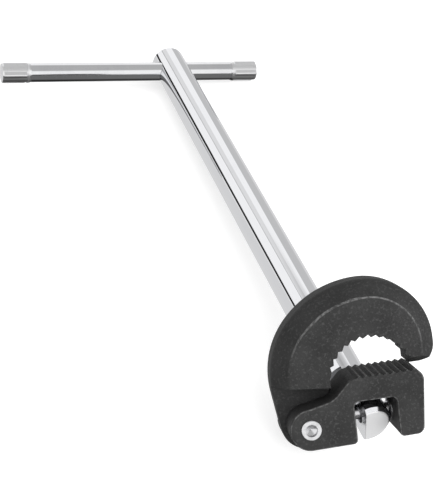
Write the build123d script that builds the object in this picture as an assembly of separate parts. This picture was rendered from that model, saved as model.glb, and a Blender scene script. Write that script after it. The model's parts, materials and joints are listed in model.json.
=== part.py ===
from build123d import *
import math
import os

# Basin wrench, millimetres.
#
# Three frames are used. Each piece is drawn in the simplest one and then placed.
#   tool frame: the round shaft lies along +Y from the head to the T bar, the T bar along X.
#   head frame: origin at the centre of the swing pin, X along the pin, Y up through the jaws,
#               Z out of the front face of the jaws.
#   rest frame: the whole wrench lying on a flat surface, +Z up.

# Shaft
shaft_r = 7.0
shaft_end = -6.2            # tongue end, measured along the shaft from the swing pin
shaft_top = 221.5
shoulder_y = 14.5           # where the tongue meets the full round of the shaft
pin_offset = 2.0            # middle of the swing pin to the axis of the shaft
tongue_left = -3.7          # sides of the tongue, from the middle of the swing pin
tongue_right = 5.3
end_chamfer = 1.3
cone_room = 0.15            # added where the hourglass hole meets the sides of the tongue
t_hole_y = 211.7
t_hole_r = 4.2

# T bar
t_bar_r = 4.0
t_bar_left = -75.6
t_bar_right = 38.1
swage_length = 10.5
swage_wide = 6.6            # across the two pressed flats' long sides
swage_thick = 7.7
swage_neck = 1.6
t_bar_roll = 38.0           # the T bar also turns in its hole, and lies like this at rest

# Swing pin and how the head sits on the shaft at rest
pin_r = 2.2
pin_left = -11.0
pin_right = 13.6
pin_end_gap = 0.3           # each end of the pin to the end of its hole
pin_hole_r = 2.3            # narrowest part of the hourglass hole in the tongue
running_play = 0.06         # added to the radius of a hole that turns on its pin
pin_twist = -13.35          # tongue flats round the shaft, away from the T bar
head_lean = 10.0
lean_limit = 10.5
head_swing = 124.2          # 0 is the head in line with the shaft

# Jaws, head frame
front_z = 12.0
heel_back_z = -5.0
heel_lug_back_z = 3.0
hook_front_z = 9.0
hook_step_z = 2.7
hook_back_z = -6.0
bottom_y = -6.3
pad_y = 13.9
pad_left = -5.1
pad_right = 13.9
ridge_count = 9
ridge_depth = 0.65
slot_left = -6.4
slot_right = 6.6
slot_top = 6.1
slot_corner = 1.6
mouth_corner = 1.4
front_edge = 0.7            # rounding of the edges of the heel's front face
shaft_room = 7.25           # pin centre to the sloping roof of the slot
sweep_room = 9.0            # radius that the end of the tongue turns in
rivet_x = -20.2
rivet_y = -0.5
heel_lug_r = 6.4
hook_lug_r = 8.0
lug_gap = 0.4

# Back of the hook
hook_tip = (21.6, 21.5)
tip_side = (20.9, 17.9)
tip_under = (16.3, 14.3)    # at rest the tip closes down over the right edge of the pad
tip_inside = (13.0, 14.3)
tip_rise = 2.5              # how much higher the tip's underside is at the front
hook_bevel = 5.0
bevel_round = 4.0           # softens the outer edge of the bevel
front_round = 1.5           # and its inner edge, round the flat front
back_round = 2.5
step_y = 11.6               # the step in the hook, over the rivet
step_tilt = -6.0

# Teeth of the hook jaw
bite_x = 0.5
bite_y = 12.1
root_r = 13.4
tip_r = 12.5
first_tip_deg = 165.7
tooth_deg = 11.4
tooth_count = 13
root_share = 0.66           # how far round the pitch the root of each tooth lies

# Rivet, washers and spring
rivet_r = 2.6
rivet_bore_r = 1.9
rivet_head_r = 3.15
rivet_lip = 0.45
rivet_bore_depth = 1.3
rivet_point = 0.9           # depth of the drilled cone below the bore
rivet_tail_z = -11.2
rivet_back_r = 3.75
rivet_back_t = 0.8
washer_r = 5.6
washer_t = 0.8
wire_r = 0.6
coil_r = 4.2
coil_pitch = 1.35
spring_turns = 1.75
heel_leg = 11.2             # reach of the leg to the heel jaw
hook_leg = 10.0
bend_r = 1.3
leg_grip = 1.2              # how far each bent end reaches into its jaw
leg_hole_r = 0.75
fork_washer_r = 4.0
fork_washer_t = 0.4
bow_r = 12.0

# Resting place of the whole wrench: turned about the shaft, then pitched about X
rest_roll = 4.16
rest_pitch = -1.9


def rest_place():
    """The tool frame, seen from the rest frame."""
    return Rot(rest_pitch, 0, 0) * Rot(0, rest_roll, 0)


def head_place():
    """The head frame, seen from the tool frame."""
    pin_centre = Rot(0, pin_twist, 0) * Pos(pin_offset, 0, 0)
    return pin_centre * Rot(0, 0, -head_lean) * Rot(180 - head_swing, 0, 0)


def make_shaft():
    length = shaft_top - shaft_end
    bar = Rot(-90, 0, 0) * Cylinder(shaft_r, length, align=(Align.CENTER, Align.CENTER, Align.MIN))
    bar = Pos(0, shaft_end, 0) * bar
    bar = chamfer(bar.edges().filter_by(GeomType.CIRCLE), end_chamfer)
    bar -= Pos(0, t_hole_y, 0) * Rot(0, 90, 0) * Cylinder(t_hole_r, 4 * shaft_r)
    return bar - make_tongue_cuts()


def make_tongue_cuts():
    """What is milled and drilled away to leave the tongue and its hourglass pin hole."""
    depth = shoulder_y - shaft_end + 2
    side = Box(20, depth, 30, align=(Align.MIN, Align.MAX, Align.CENTER))
    cuts = Pos(pin_offset + tongue_right, shoulder_y, 0) * side
    cuts += Pos(pin_offset + tongue_left - 20, shoulder_y, 0) * side
    flare = tongue_right * math.tan(math.radians(lean_limit)) + cone_room
    cone_align = (Align.CENTER, Align.CENTER, Align.MIN)
    for turn in (90, -90):
        cone = Cone(pin_hole_r, pin_hole_r + flare, tongue_right, align=cone_align)
        cuts += Pos(pin_offset, 0, 0) * Rot(0, turn, 0) * cone
    return Rot(0, pin_twist, 0) * cuts


def make_t_bar():
    length = t_bar_right - t_bar_left
    bar = Rot(0, 90, 0) * Cylinder(t_bar_r, length, align=(Align.CENTER, Align.CENTER, Align.MIN))
    bar = Pos(t_bar_left, t_hole_y, 0) * bar
    for end, inward in ((t_bar_left, 1), (t_bar_right, -1)):
        bar += make_swage(end, inward)
    return bar


def make_swage(end, inward):
    """A pressed end of the T bar: four flats, too wide across the corners for the hole."""
    block = Box(swage_length, swage_wide, swage_thick)
    block = fillet(block.edges().filter_by(Axis.X), 0.9)
    block = chamfer(block.edges().filter_by(Axis.X, reverse=True), 0.5)
    neck = Rot(0, 90 * inward, 0) * Cone(t_bar_r + 0.35, t_bar_r, swage_neck)
    middle = end + inward * swage_length / 2
    neck_middle = end + inward * (swage_length + swage_neck / 2)
    swage = Pos(middle, 0, 0) * block + Pos(neck_middle, 0, 0) * neck
    return Pos(0, t_hole_y, 0) * Rot(t_bar_roll, 0, 0) * swage


def rod(radius, low, high):
    """A round rod along Z, from one height to another."""
    return Pos(0, 0, low) * Cylinder(radius, high - low, align=(Align.CENTER, Align.CENTER, Align.MIN))


def slab(outline, low, high):
    """A closed outline in the XY plane, made solid from one height to another."""
    return Pos(0, 0, low) * extrude(make_face(outline), high - low)


def at_rivet():
    return Pos(rivet_x, rivet_y, 0)


def heel_outline():
    lug_top = rivet_y + heel_lug_r
    valley = pad_y - ridge_depth
    line = Line((rivet_x, lug_top), (-15.2, 7.0))
    line += JernArc((-15.2, 7.0), (1, 0.16), 7.5, 39)
    rise = line.vertices().sort_by(Axis.X)[-1]
    line += Line((rise.X, rise.Y), (-7.4, 12.6))
    line += ThreePointArc((-7.4, 12.6), (-6.4, valley - 0.25), (pad_left, valley))
    line += Line((pad_left, valley), (pad_right, valley))
    line += ThreePointArc((pad_right, valley), (15.2, 11.9), (15.6, 9.6))
    line += Line((15.6, 9.6), (14.3, -4.2))
    line += ThreePointArc((14.3, -4.2), (13.6, -5.6), (12.2, bottom_y))
    line += Line((12.2, bottom_y), (rivet_x, rivet_y - heel_lug_r))
    line += ThreePointArc((rivet_x, rivet_y - heel_lug_r), (rivet_x - heel_lug_r, rivet_y), (rivet_x, lug_top))
    return line


def make_ridges():
    """The serrated grip on the pad: V ridges running from front to back."""
    pitch = (pad_right - pad_left) / ridge_count
    valley = pad_y - ridge_depth
    ridges = []
    for i in range(ridge_count):
        left = pad_left + i * pitch
        corners = ((left, valley - 0.5), (left, valley), (left + pitch / 2, pad_y))
        corners += ((left + pitch, valley), (left + pitch, valley - 0.5))
        ridges.append(slab(Polyline(*corners, close=True), heel_back_z, front_z))
    return ridges


def make_slot():
    """The slot for the tongue. Its roof slopes up to the back, where the folded shaft lies."""
    wide = slot_right - slot_left
    middle = (slot_left + slot_right) / 2
    front = Pos(middle, -4, 0) * Box(wide, 2 * (slot_top + 4), 60)
    front = fillet(front.edges().filter_by(Axis.Z).group_by(Axis.Y)[-1], slot_corner)
    slope = Box(wide, 40, 40, align=(Align.CENTER, Align.MAX, Align.MAX))
    slope = Pos(middle, 0, 0) * Rot(head_swing - 90, 0, 0) * Pos(0, shaft_room, 0) * slope
    sweep = Pos(middle, 0, 0) * Rot(0, 90, 0) * Cylinder(sweep_room, wide)
    return front + slope + sweep


def at_mouth(edge):
    """True for the two corners where the walls of the slot meet the underside."""
    place = edge.center()
    return slot_left - 0.1 < place.X < slot_right + 0.1 and place.Y < -5


def make_heel_jaw():
    jaw = slab(heel_outline(), heel_back_z, front_z) - make_slot()
    jaw = fillet(jaw.edges().filter_by(Axis.Z).filter_by(at_mouth), mouth_corner)
    front_edges = jaw.faces().sort_by(Axis.Z)[-1].edges()
    jaw = fillet(front_edges.filter_by(lambda e: e.center().Y < pad_y - 1), front_edge)
    for ridge in make_ridges():
        jaw += ridge
    jaw -= at_rivet() * rod(hook_lug_r + lug_gap, heel_back_z - 1, heel_lug_back_z)
    behind_lug = Box(20, 40, 20, align=(Align.MAX, Align.CENTER, Align.MAX))
    jaw -= Pos(rivet_x + hook_lug_r + lug_gap, 0, heel_lug_back_z) * behind_lug
    jaw -= at_rivet() * rod(rivet_r, heel_lug_back_z - 1, front_z + 1)
    jaw -= at_rivet() * Pos(heel_leg, coil_r, 0) * rod(leg_hole_r, heel_back_z - 1, heel_back_z + 1.5)
    return jaw - Rot(0, 90, 0) * rod(pin_r + running_play, pin_left, pin_right)


def on_circle(radius, degrees):
    turn = math.radians(degrees)
    return (bite_x + radius * math.cos(turn), bite_y + radius * math.sin(turn))


def bite_points():
    """Saw teeth round the inside of the hook, from the side arm over to the tip."""
    points = []
    for i in range(tooth_count):
        tip = first_tip_deg - i * tooth_deg
        points.append(on_circle(tip_r, tip))
        points.append(on_circle(root_r, tip - root_share * tooth_deg))
    return points


def hook_back_curve():
    """The long outer curve of the hook, from the lug up over the top and down to the tip."""
    curve = Line((rivet_x - hook_lug_r, rivet_y), (-29.6, 9.5))
    heading = curve % 1
    start = (-29.6, 9.5)
    for end in ((-22.6, 31.6), (0.8, 41.8), hook_tip):
        arc = TangentArc(start, end, tangent=heading)
        heading = arc % 1
        curve += arc
        start = end
    return curve, heading


def hook_outline():
    lug_left = rivet_x - hook_lug_r
    lug_right = rivet_x + hook_lug_r
    line = hook_back_curve()[0]
    line += ThreePointArc(hook_tip, tip_side, tip_under)
    inside = [tip_under, tip_inside, *reversed(bite_points())]
    line += Polyline(*inside, (-12.5, 13.4), (lug_right, 7.5), (lug_right, rivet_y))
    line += ThreePointArc((lug_right, rivet_y), (rivet_x, rivet_y - hook_lug_r), (lug_left, rivet_y))
    return line


def round_edges(piece, height, radius):
    """Round the arcs of the hook's back that lie at one height."""
    def at_height(edge):
        return abs(edge.center().Z - height) < 0.1 and edge.center().Y > 5
    return fillet(piece.edges().filter_by(GeomType.CIRCLE).filter_by(at_height), radius)


def make_hook_blank():
    """The outside of the hook: a round back that slopes in to the flat front."""
    line, heading = hook_back_curve()
    line += Polyline(hook_tip, Vector(*hook_tip) + heading * 50, (-40, -30), (rivet_x - hook_lug_r, rivet_y))
    blank = slab(line, hook_back_z, hook_front_z)
    front_edges = blank.faces().sort_by(Axis.Z)[-1].edges()
    blank = chamfer(front_edges.filter_by(lambda e: e.center().Y > 5), hook_bevel)
    blank = round_edges(blank, hook_front_z, front_round)
    blank = round_edges(blank, hook_front_z - hook_bevel, bevel_round)
    return round_edges(blank, hook_back_z, back_round)


def under_tip_bevel():
    """Slopes the front of the tip's underside back, as the bevel does round the outside."""
    wedge = Box(16, 20, 20, align=(Align.MIN, Align.MAX, Align.MIN))
    foot = Pos(tip_inside[0] - 1.5, tip_under[1], hook_front_z - hook_bevel)
    return foot * Rot(-math.degrees(math.atan2(tip_rise, hook_bevel)), 0, 0) * wedge


def make_hook_jaw():
    jaw = make_hook_blank() & slab(hook_outline(), hook_back_z - 1, hook_front_z + 1)
    recess = Box(60, 40, 40, align=(Align.CENTER, Align.MAX, Align.MIN))
    jaw -= Pos(rivet_x, step_y, hook_step_z) * Rot(0, 0, step_tilt) * recess
    jaw -= under_tip_bevel()
    jaw -= at_rivet() * Pos(coil_r, hook_leg, 0) * rod(leg_hole_r, hook_back_z - 1, hook_back_z + 1.5)
    return jaw - at_rivet() * rod(rivet_r + running_play, hook_back_z - 1, hook_step_z + 1)


def make_rivet():
    """Semi-tubular rivet: flat head behind the washer, hollow end rolled over at the front."""
    body = rod(rivet_r, rivet_tail_z, front_z)
    rolled = rod(rivet_head_r, front_z, front_z + rivet_lip)
    body += fillet(rolled.edges().filter_by(GeomType.CIRCLE).group_by(Axis.Z)[-1], 0.35)
    head = rod(rivet_back_r, rivet_tail_z - rivet_back_t, rivet_tail_z)
    body += chamfer(head.edges().filter_by(GeomType.CIRCLE).group_by(Axis.Z)[0], 0.3)
    floor_z = front_z - rivet_bore_depth
    bore = rod(rivet_bore_r, floor_z, front_z + 2)
    point = Cone(0.1, rivet_bore_r, rivet_point, align=(Align.CENTER, Align.CENTER, Align.MAX))
    return at_rivet() * (body - bore - Pos(0, 0, floor_z) * point)


def make_pin():
    pin = Rot(0, 90, 0) * rod(pin_r, pin_left + pin_end_gap, pin_right - pin_end_gap)
    return chamfer(pin.edges().filter_by(GeomType.CIRCLE), 0.4)


def make_washer():
    """The plain washer under the rolled tail of the rivet."""
    low = rivet_tail_z
    return at_rivet() * (rod(washer_r, low, low + washer_t) - rod(rivet_r, low - 1, low + 2))


def make_jaw_spring():
    """Torsion spring round the rivet: one leg holds in the heel jaw, the other in the hook."""
    coil = Helix(coil_pitch, spring_turns * coil_pitch, coil_r)
    to_heel = coil @ 0 - (coil % 0) * heel_leg
    to_hook = coil @ 1 + (coil % 1) * hook_leg
    low = rivet_tail_z + washer_t + wire_r + 0.2
    heel_bend = Vector(0, 0, heel_back_z + leg_grip - low - to_heel.Z)
    hook_bend = Vector(0, 0, hook_back_z + leg_grip - low - to_hook.Z)
    heel_run = FilletPolyline(to_heel + heel_bend, to_heel, coil @ 0, radius=bend_r)
    hook_run = FilletPolyline(coil @ 1, to_hook, to_hook + hook_bend, radius=bend_r)
    path = Wire([*heel_run.edges(), *coil.edges(), *hook_run.edges()])
    wire = sweep(Plane(path @ 0, z_dir=path % 0) * Circle(wire_r), path=path)
    return at_rivet() * Pos(0, 0, low) * Rot(0, 0, 90) * wire


def make_fork_washers():
    """Two bowed spring washers on the swing pin, one each side of the tongue."""
    ring = rod(fork_washer_r, -3, 3) - rod(pin_r, -4, 4)
    bow = rod(bow_r, -10, 10) - rod(bow_r - fork_washer_t, -11, 11)
    washer = ring & Pos(0, 0, -bow_r + fork_washer_t / 2) * Rot(90, 0, 0) * bow
    left = Pos(slot_left + 0.95, 0, 0) * Rot(0, 90, 0) * washer
    right = Pos(slot_right - 0.95, 0, 0) * Rot(0, -90, 0) * washer
    return left + right


def make_parts():
    """Every piece in the rest frame, with the origin under the middle of the wrench."""
    tool_parts = {
        "shaft": make_shaft(),
        "t_bar": make_t_bar(),
    }
    head_parts = {
        "heel_jaw": make_heel_jaw(),
        "hook_jaw": make_hook_jaw(),
        "jaw_rivet": make_rivet(),
        "rivet_washer": make_washer(),
        "jaw_spring": make_jaw_spring(),
        "swing_pin": make_pin(),
        "fork_washers": make_fork_washers(),
    }
    placed = {name: rest_place() * piece for name, piece in tool_parts.items()}
    for name, piece in head_parts.items():
        placed[name] = rest_place() * head_place() * piece
    boxes = [piece.bounding_box() for piece in placed.values()]
    low = [min(corner) for corner in zip(*(tuple(box.min) for box in boxes))]
    high = [max(corner) for corner in zip(*(tuple(box.max) for box in boxes))]
    return Pos(-(low[0] + high[0]) / 2, -(low[1] + high[1]) / 2, -low[2]), placed


origin, parts = make_parts()
os.makedirs("parts", exist_ok=True)
for name, piece in parts.items():
    export_step(origin * piece, "parts/" + name + ".step")
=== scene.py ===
import json

import bpy
from mathutils import Matrix, Vector


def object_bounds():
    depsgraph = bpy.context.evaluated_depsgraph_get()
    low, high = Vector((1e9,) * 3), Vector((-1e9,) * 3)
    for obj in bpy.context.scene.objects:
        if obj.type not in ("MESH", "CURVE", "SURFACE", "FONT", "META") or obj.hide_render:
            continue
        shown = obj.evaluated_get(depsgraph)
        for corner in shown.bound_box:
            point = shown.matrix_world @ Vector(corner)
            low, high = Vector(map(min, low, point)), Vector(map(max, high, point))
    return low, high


# Basin wrench: finishes, studio and camera round the modelled tool. Lengths are in metres.

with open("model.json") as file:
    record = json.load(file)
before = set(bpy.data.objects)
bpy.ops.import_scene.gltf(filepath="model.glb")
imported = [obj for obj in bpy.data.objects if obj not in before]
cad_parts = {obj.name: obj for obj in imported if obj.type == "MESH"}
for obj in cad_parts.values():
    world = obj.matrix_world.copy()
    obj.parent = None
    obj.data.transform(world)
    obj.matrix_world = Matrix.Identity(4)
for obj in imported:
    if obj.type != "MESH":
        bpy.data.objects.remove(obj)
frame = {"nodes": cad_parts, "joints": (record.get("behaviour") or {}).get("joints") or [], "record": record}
model_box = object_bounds()
record = frame["record"]
joints = {joint["name"]: joint for joint in frame["joints"]}
mounts = {mount["name"]: mount for mount in record["mounts"]}
mm = 0.001

# The shaft's own frame: along the T bar, along the shaft towards the T bar, and up
grip_from_pin = 120 * mm
bar_axis = Vector(joints["t_bar_slide"]["axis"])
shaft_axis = Vector(mounts["shaft_grip"]["axis"])
shaft_up = bar_axis.cross(shaft_axis)
shaft_start = Vector(mounts["shaft_grip"]["pos_m"]) - shaft_axis * grip_from_pin
tongue_end = -6.2 * mm
shoulder = 14.5 * mm
bar_left = -75.6 * mm
bar_right = 38.1 * mm
swage_length = 12 * mm

# The head's own frame: along the swing pin, up through the jaws, and out of the front face
pin_axis = Vector(joints["head_swing"]["axis"])
face_axis = Vector(joints["jaw_open"]["axis"])
jaw_up = face_axis.cross(pin_axis)
pin_centre = Vector(joints["head_swing"]["pos_m"])
rivet_centre = Vector(joints["jaw_open"]["pos_m"])
pad_crest = 13.9 * mm
pad_left = -5.6 * mm
bite_centre = (0.5 * mm, 12.1 * mm)
tooth_tip_r = 12.5 * mm
# Lighter band round the bend of the hook's front, by facing, fading in between these heights: partly wear,
# partly a painted highlight
hook_bend_facing = 0.88
hook_wear_sheen_low = 14 * mm
hook_wear_sheen_high = 34 * mm
heel_rim_facing = 0.72

# Finishes
chrome_clean = (0.86, 0.865, 0.885, 1)
chrome_smeared = (0.79, 0.80, 0.825, 1)
chrome_milled = (0.66, 0.665, 0.68, 1)
chrome_cut = (0.60, 0.60, 0.605, 1)
bar_clean = (0.84, 0.845, 0.86, 1)
bar_smeared = (0.72, 0.725, 0.745, 1)
bar_pressed = (0.93, 0.93, 0.935, 1)
bar_scuffed = (0.74, 0.74, 0.74, 1)
zinc_clean = (0.80, 0.80, 0.815, 1)
zinc_bloom = (0.62, 0.62, 0.625, 1)
wire_oiled = (0.23, 0.23, 0.24, 1)
wire_rubbed = (0.55, 0.55, 0.56, 1)
phosphate_dark = 0.015
phosphate_pale = 0.024
phosphate_pit = 0.006
phosphate_grain = 0.042
# Lighter iron for worn places, also the colour of the painted highlight on the hook's top bend
worn_iron_and_highlight = 0.20
casting_specular = 0.28

# Camera, in the shaft's frame
eye = (-0.1670, -0.2285, 0.2519)
look = (0.3423, 0.7334, -0.5873)
head_up = (0.0590, 0.6070, 0.7925)
lens = 87.27
sensor = 36.0

# Studio, in the shaft's frame
key_place = (0.35, -0.80, 0.60)
key_size = 1.10
key_watts = 10.0
key_way = (0.42, -0.74, 0.52)
room_low = 0.20
room_high = 1.85
floor_size = 8.0
table_dark = 0.50
table_pale = 0.52
table_glow = 0.62
far_start = 0.35            # cosines from the shaft's axis, between which the far panels fade in
far_end = 0.55
panel_low = 0.25            # and the same from straight up
panel_high = 0.35
roof_shade = 0.52
panel_shade = 0.20
seam_shade = 0.62
wall_shade = 0.42
gap_shade = 0.985
ground_near = 0.16
ground_far = 0.56


class Wire:
    """A socket's output. Python sums on it add Math nodes."""

    def __init__(self, nodes, socket):
        self.nodes = nodes
        self.socket = socket

    def sum(self, operation, first, second=None):
        values = {0: first} if second is None else {0: first, 1: second}
        return self.nodes.add("ShaderNodeMath", {"operation": operation}, values)

    def __add__(self, other):
        return self.sum("ADD", self, other)

    def __radd__(self, other):
        return self.sum("ADD", other, self)

    def __sub__(self, other):
        return self.sum("SUBTRACT", self, other)

    def __rsub__(self, other):
        return self.sum("SUBTRACT", other, self)

    def __mul__(self, other):
        return self.sum("MULTIPLY", self, other)

    def __rmul__(self, other):
        return self.sum("MULTIPLY", other, self)

    def __abs__(self):
        return self.sum("ABSOLUTE", self)

    def root(self):
        return self.sum("SQRT", self)

    def step(self, start, end):
        """0 before start, 1 after end, smooth between them."""
        values = {"Value": self, "From Min": start, "From Max": end}
        return self.nodes.add("ShaderNodeMapRange", {"interpolation_type": "SMOOTHSTEP"}, values)

    def band(self, middle, half, soft):
        """1 within half of middle, fading to 0 over soft."""
        return 1 - abs(self - middle).step(half, half + soft)

    def along(self, axis):
        """The length of this vector along an axis."""
        settings = {"operation": "DOT_PRODUCT"}
        return self.nodes.add("ShaderNodeVectorMath", settings, {0: self, 1: axis}, "Value")

    def minus(self, point):
        settings = {"operation": "SUBTRACT"}
        return self.nodes.add("ShaderNodeVectorMath", settings, {0: self, 1: point})


class Nodes:
    """The node tree of one material or of the world."""

    def __init__(self, tree):
        self.tree = tree
        tree.nodes.clear()

    def add(self, kind, settings=None, inputs=None, output=0):
        node = self.tree.nodes.new(kind)
        for name, value in (settings or {}).items():
            setattr(node, name, value)
        for name, value in (inputs or {}).items():
            if isinstance(value, Wire):
                self.tree.links.new(value.socket, node.inputs[name])
            else:
                node.inputs[name].default_value = value
        return Wire(self, node.outputs[output])

    def place(self):
        """The point on the piece, in the model's frame."""
        return self.add("ShaderNodeTexCoord", output="Object")

    def facing(self):
        """The surface's normal, in the model's frame."""
        return self.add("ShaderNodeTexCoord", output="Normal")

    def vector(self, x, y, z):
        return self.add("ShaderNodeCombineXYZ", inputs={"X": x, "Y": y, "Z": z})

    def noise(self, place, scale, detail=3.0, roughness=0.55):
        inputs = {"Vector": place, "Scale": scale, "Detail": detail, "Roughness": roughness}
        return self.add("ShaderNodeTexNoise", inputs=inputs)

    def cells(self, place, scale):
        return self.add("ShaderNodeTexVoronoi", inputs={"Vector": place, "Scale": scale})

    def mix(self, amount, first, second):
        """A colour between two others."""
        return self.add("ShaderNodeMix", {"data_type": "RGBA"}, {0: amount, 6: first, 7: second}, 2)

    def bump(self, height, distance, below=None):
        inputs = {"Height": height, "Strength": 1.0, "Distance": distance}
        if below is not None:
            inputs["Normal"] = below
        return self.add("ShaderNodeBump", inputs=inputs)

    def surface(self, **inputs):
        """The finished surface. A word's underscores stand for the spaces in a socket's name."""
        named = {name.replace("_", " "): value for name, value in inputs.items()}
        shader = self.add("ShaderNodeBsdfPrincipled", inputs=named)
        self.add_end("ShaderNodeOutputMaterial", shader)

    def add_end(self, kind, shader):
        end = self.tree.nodes.new(kind)
        self.tree.links.new(shader.socket, end.inputs["Surface"])


def new_material(name):
    material = bpy.data.materials.new(name)
    material.use_nodes = True
    return material, Nodes(material.node_tree)


def grey(level, warmth=0.0):
    return (level * (1 + warmth), level, level * (1 - warmth), 1.0)


def shaft_place(nodes):
    """Places along the T bar, along the shaft and up from the shaft's centre line."""
    place = nodes.place().minus(shaft_start)
    return place, place.along(bar_axis), place.along(shaft_axis), place.along(shaft_up)


def head_place(nodes):
    """Places along the swing pin, up through the jaws and out of the front face."""
    place = nodes.place().minus(pin_centre)
    return place, place.along(pin_axis), place.along(jaw_up), place.along(face_axis)


def polished_chrome():
    """Plated round bar: drawn lines along it, faint smears, and a satin cut end and tongue."""
    material, nodes = new_material("polished_chrome")
    place, across, along, up = shaft_place(nodes)
    lines = nodes.noise(nodes.vector(across * 2600, along * 26, up * 2600), 1.0, 4.0, 0.6)
    peel = nodes.noise(place, 240.0, 2.0)
    smears = nodes.noise(place, 38.0, 4.0, 0.65).step(0.48, 0.72)
    cut = 1 - along.step(tongue_end + 0.1 * mm, tongue_end + 0.5 * mm)
    machined = 1 - along.step(shoulder - 0.6 * mm, shoulder - 0.1 * mm)
    tool_marks = nodes.noise(nodes.vector(across * 500, along * 3600, up * 500), 1.0, 2.0)
    colour = nodes.mix(smears * 0.35, chrome_clean, chrome_smeared)
    colour = nodes.mix(machined * tool_marks * 0.3, colour, chrome_milled)
    colour = nodes.mix(cut, colour, chrome_cut)
    roughness = 0.035 + lines * 0.03 + smears * 0.05 + machined * 0.10 + cut * 0.30
    height = nodes.bump(lines, 0.0012 * mm)
    height = nodes.bump(peel, 0.0035 * mm, height)
    height = nodes.bump(tool_marks * machined, 0.008 * mm, height)
    nodes.surface(Base_Color=colour, Metallic=1 - cut * 0.6, Roughness=roughness, Normal=height)
    return material


def pressed_chrome():
    """Thinner plate on the T bar, dulled and scuffed where the ends were pressed flat."""
    material, nodes = new_material("pressed_chrome")
    place, across, along, up = shaft_place(nodes)
    lines = nodes.noise(nodes.vector(across * 30, along * 2400, up * 2400), 1.0, 4.0, 0.6)
    left_end = 1 - across.step(bar_left + swage_length - 1 * mm, bar_left + swage_length)
    right_end = across.step(bar_right - swage_length, bar_right - swage_length + 1 * mm)
    pressed = left_end + right_end
    rubbed = nodes.vector(across * 900, along * 300, up * 700)
    scuffs = nodes.noise(rubbed, 1.0, 4.0, 0.7).step(0.50, 0.75)
    ripple = nodes.noise(place, 170.0, 2.0)
    smears = nodes.noise(place, 55.0, 4.0, 0.65).step(0.45, 0.75)
    colour = nodes.mix(smears * 0.5, bar_clean, bar_smeared)
    colour = nodes.mix(pressed * 0.7, colour, bar_pressed)
    colour = nodes.mix(pressed * scuffs * 0.3, colour, bar_scuffed)
    roughness = 0.07 + lines * 0.05 + smears * 0.06 + pressed * (0.22 + scuffs * 0.10)
    height = nodes.bump(lines, 0.0015 * mm)
    height = nodes.bump(ripple, 0.010 * mm, height)
    height = nodes.bump(scuffs * pressed, 0.006 * mm, height)
    nodes.surface(Base_Color=colour, Metallic=1.0, Roughness=roughness, Normal=height)
    return material


def casting(name, wear_and_highlight):
    """Black phosphate on a fine sand casting. The mask it is given marks where rubbing has lightened it, and
    on the hook also where a highlight is painted on its top bend.
    """
    material, nodes = new_material(name)
    place, across, up, out = head_place(nodes)
    front = nodes.facing().along(face_axis)
    sand = nodes.noise(place, 2300.0, 3.0, 0.6)
    lumps = nodes.noise(place, 520.0, 3.0, 0.55)
    grain = nodes.noise(place, 1300.0, 2.0, 0.7)
    pits = nodes.cells(place, 1150.0).step(0.08, 0.22)
    cloud = nodes.noise(place, 95.0, 4.0, 0.6)
    patches = nodes.noise(place, 760.0, 4.0, 0.7).step(0.36, 0.66)
    # Lighter worn iron; on the hook's top bend this is also a painted highlight
    edge = wear_and_highlight(nodes, across, up, out, front) * (0.12 + patches * 0.88)
    colour = nodes.mix(cloud.step(0.30, 0.72), grey(phosphate_dark), grey(phosphate_pale))
    colour = nodes.mix((1 - pits) * 0.6, colour, grey(phosphate_pit))
    colour = nodes.mix(grain.step(0.52, 0.70) * 0.75, colour, grey(phosphate_grain))
    colour = nodes.mix(edge * 0.70, colour, grey(worn_iron_and_highlight))
    roughness = 0.56 + sand * 0.16 - edge * 0.12
    height = nodes.bump(sand, 0.030 * mm)
    height = nodes.bump(grain, 0.060 * mm, height)
    height = nodes.bump(lumps, 0.060 * mm, height)
    nodes.surface(Base_Color=colour, Metallic=0.0, Roughness=roughness, Normal=height,
                  Specular_IOR_Level=casting_specular)
    return material


def hook_wear_and_highlight(nodes, across, up, out, front):
    """The hook rubs on its tooth tips. The lighter band on the bend round its flat front, most at the top,
    is partly wear and partly a painted highlight.
    """
    # Band by facing on the bend, fading in towards the top: partly wear, partly a painted highlight
    bend = front.band(hook_bend_facing, 0.06, 0.04) * up.step(hook_wear_sheen_low, hook_wear_sheen_high)
    sideways = across - bite_centre[0]
    upward = up - bite_centre[1]
    from_bite = (sideways * sideways + upward * upward).root()
    tips = 1 - from_bite.step(tooth_tip_r + 0.05 * mm, tooth_tip_r + 0.40 * mm)
    return bend * 0.75 + tips * 0.4


def heel_wear(nodes, across, up, out, front):
    """The heel rubs on its ridge crests and round the edge of its front face."""
    on_pad = across.step(pad_left, pad_left + 0.5 * mm)
    crest = up.step(pad_crest - 0.26 * mm, pad_crest - 0.06 * mm) * on_pad
    rim = front.band(heel_rim_facing, 0.16, 0.10)
    return crest * 0.7 + rim * 0.6


def bright_zinc(name, centre, turned):
    """Zinc plate over turned steel: fine rings round the piece, dulled in places."""
    material, nodes = new_material(name)
    place = nodes.place().minus(centre)
    depth = place.along(turned)
    spread = place.along(place)
    radius = (spread - depth * depth).root()
    rings = nodes.noise(nodes.vector(radius * 5200, depth * 5200, 0.0), 1.0, 3.0)
    bloom = nodes.noise(place, 420.0, 4.0, 0.65)
    colour = nodes.mix(bloom.step(0.42, 0.70) * 0.6, zinc_clean, zinc_bloom)
    roughness = 0.16 + rings * 0.08 + bloom * 0.10
    height = nodes.bump(rings, 0.004 * mm)
    height = nodes.bump(bloom, 0.006 * mm, height)
    nodes.surface(Base_Color=colour, Metallic=1.0, Roughness=roughness, Normal=height)
    return material


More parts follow.
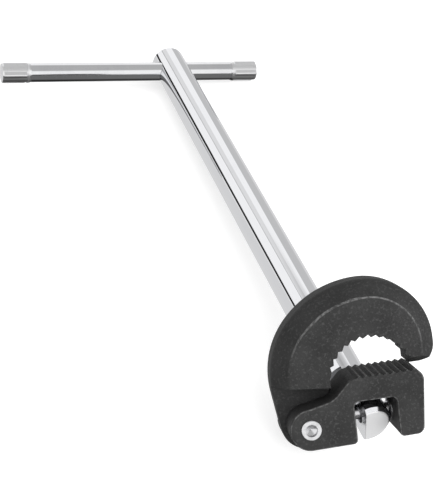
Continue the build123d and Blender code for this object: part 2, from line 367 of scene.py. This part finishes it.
def spring_steel():
    """Drawn wire: dark oiled steel with fine lines and bright rub marks."""
    material, nodes = new_material("spring_steel")
    place = nodes.place()
    drawn = nodes.vector(place.along(pin_axis) * 2600, place.along(jaw_up) * 2600,
                         place.along(face_axis) * 5200)
    lines = nodes.noise(drawn, 1.0, 3.0)
    rubbed = nodes.noise(place, 700.0, 3.0, 0.6).step(0.50, 0.68)
    colour = nodes.mix(rubbed * 0.6, wire_oiled, wire_rubbed)
    height = nodes.bump(lines, 0.005 * mm)
    nodes.surface(Base_Color=colour, Metallic=1.0, Roughness=0.26 + lines * 0.16, Normal=height)
    return material


def paint(node, material):
    for slot in frame["nodes"][node].material_slots:
        slot.material = material


def finish_pieces():
    paint("shaft", polished_chrome())
    paint("t_bar", pressed_chrome())
    paint("hook_jaw", casting("black_hook_casting", hook_wear_and_highlight))
    paint("heel_jaw", casting("black_heel_casting", heel_wear))
    rivet_zinc = bright_zinc("rivet_zinc", rivet_centre, face_axis)
    paint("jaw_rivet", rivet_zinc)
    paint("rivet_washer", rivet_zinc)
    pin_zinc = bright_zinc("pin_zinc", pin_centre, pin_axis)
    paint("swing_pin", pin_zinc)
    paint("fork_washers", pin_zinc)
    paint("jaw_spring", spring_steel())


def in_model(place):
    """A place given in the shaft's frame, in the model's frame."""
    return shaft_start + bar_axis * place[0] + shaft_axis * place[1] + shaft_up * place[2]


def turn_in_model(vector):
    return in_model(vector) - shaft_start


def aimed(place, back, up):
    """A matrix at a place whose own Z points back from what it faces."""
    back = back.normalized()
    right = up.cross(back).normalized()
    turned = Matrix((right, back.cross(right), back)).transposed().to_4x4()
    return Matrix.Translation(place) @ turned


def make_camera():
    data = bpy.data.cameras.new("camera")
    data.lens = lens
    data.sensor_width = sensor
    camera = bpy.data.objects.new("camera", data)
    bpy.context.scene.collection.objects.link(camera)
    camera.matrix_world = aimed(in_model(eye), -turn_in_model(look), turn_in_model(head_up))
    bpy.context.scene.camera = camera


def make_softbox(name, place, size, watts):
    """A square light that faces the middle of the wrench."""
    data = bpy.data.lights.new(name, "AREA")
    data.shape = "SQUARE"
    data.size = size
    data.energy = watts
    light = bpy.data.objects.new(name, data)
    bpy.context.scene.collection.objects.link(light)
    middle = (model_box[0] + model_box[1]) / 2
    spot = in_model(place)
    light.matrix_world = aimed(spot, spot - middle, Vector((0, 0, 1)))
    light.visible_glossy = False


def make_floor():
    """A pale light table, so shadows on it are faint. The polished bar doesn't mirror it."""
    half = floor_size / 2
    mesh = bpy.data.meshes.new("table_top")
    corners = [(-half, -half, 0), (half, -half, 0), (half, half, 0), (-half, half, 0)]
    mesh.from_pydata(corners, [], [(0, 1, 2, 3)])
    floor = bpy.data.objects.new("table_top", mesh)
    floor.location.z = model_box[0].z
    bpy.context.scene.collection.objects.link(floor)
    material, nodes = new_material("pale_table")
    tone = nodes.noise(nodes.place(), 3.0, 2.0)
    colour = nodes.mix(tone, grey(table_dark), grey(table_pale))
    nodes.surface(Base_Color=colour, Roughness=0.7, Emission_Color=grey(1.0),
                  Emission_Strength=table_glow)
    mesh.materials.append(material)
    floor.visible_glossy = False


def studio_tone(nodes):
    """How light each way looks from the wrench: a white tent, grey panels and dark gaps."""
    way = nodes.add("ShaderNodeTexCoord", output="Generated")
    side = way.along(bar_axis)
    far = way.along(shaft_axis)
    height = way.along(shaft_up)
    beyond = far.step(far_start, far_end)
    upright = beyond * height.step(panel_low, panel_high)
    tone = 1 - height.step(0.665, 0.80) * roof_shade
    panel = side.band(-0.145, 0.125, 0.02) * upright
    tone = tone * (1 - panel * panel_shade)
    seam = side.band(-0.292, 0.008, 0.014) * upright
    tone = tone * (1 - seam * seam_shade)
    right_wall = side.step(0.375, 0.40) * beyond
    tone = tone * (1 - right_wall * wall_shade)
    gap = height.band(0.105, 0.055, 0.03) * beyond * (1 - side.step(-0.10, 0.10))
    tone = tone * (1 - gap * gap_shade)
    below = 1 - height.step(-0.04, 0.02)
    ground = ground_near + beyond * ground_far
    ground = ground * (1 - 0.9 * (1 - height.step(-0.99, -0.80)))
    return tone * (1 - below) + ground * below


def make_room():
    """Even light on the table and jaws, and the studio in what the polished bars mirror."""
    world = bpy.data.worlds.new("studio")
    world.use_nodes = True
    bpy.context.scene.world = world
    nodes = Nodes(world.node_tree)
    mirrored = nodes.add("ShaderNodeLightPath", output="Is Glossy Ray")
    way = nodes.add("ShaderNodeTexCoord", output="Generated")
    towards_key = way.along(turn_in_model(key_way)).step(-0.5, 0.95)
    even = room_low + towards_key * (room_high - room_low)
    mirror = studio_tone(nodes)
    room = nodes.mix(mirrored, nodes.vector(even, even, even), nodes.vector(mirror, mirror, mirror))
    shader = nodes.add("ShaderNodeBackground", inputs={"Color": room, "Strength": 1.0})
    nodes.add_end("ShaderNodeOutputWorld", shader)


make_camera()
make_floor()
make_room()
make_softbox("front_softbox", key_place, key_size, key_watts)
finish_pieces()
bpy.context.scene.view_settings.view_transform = "Standard"
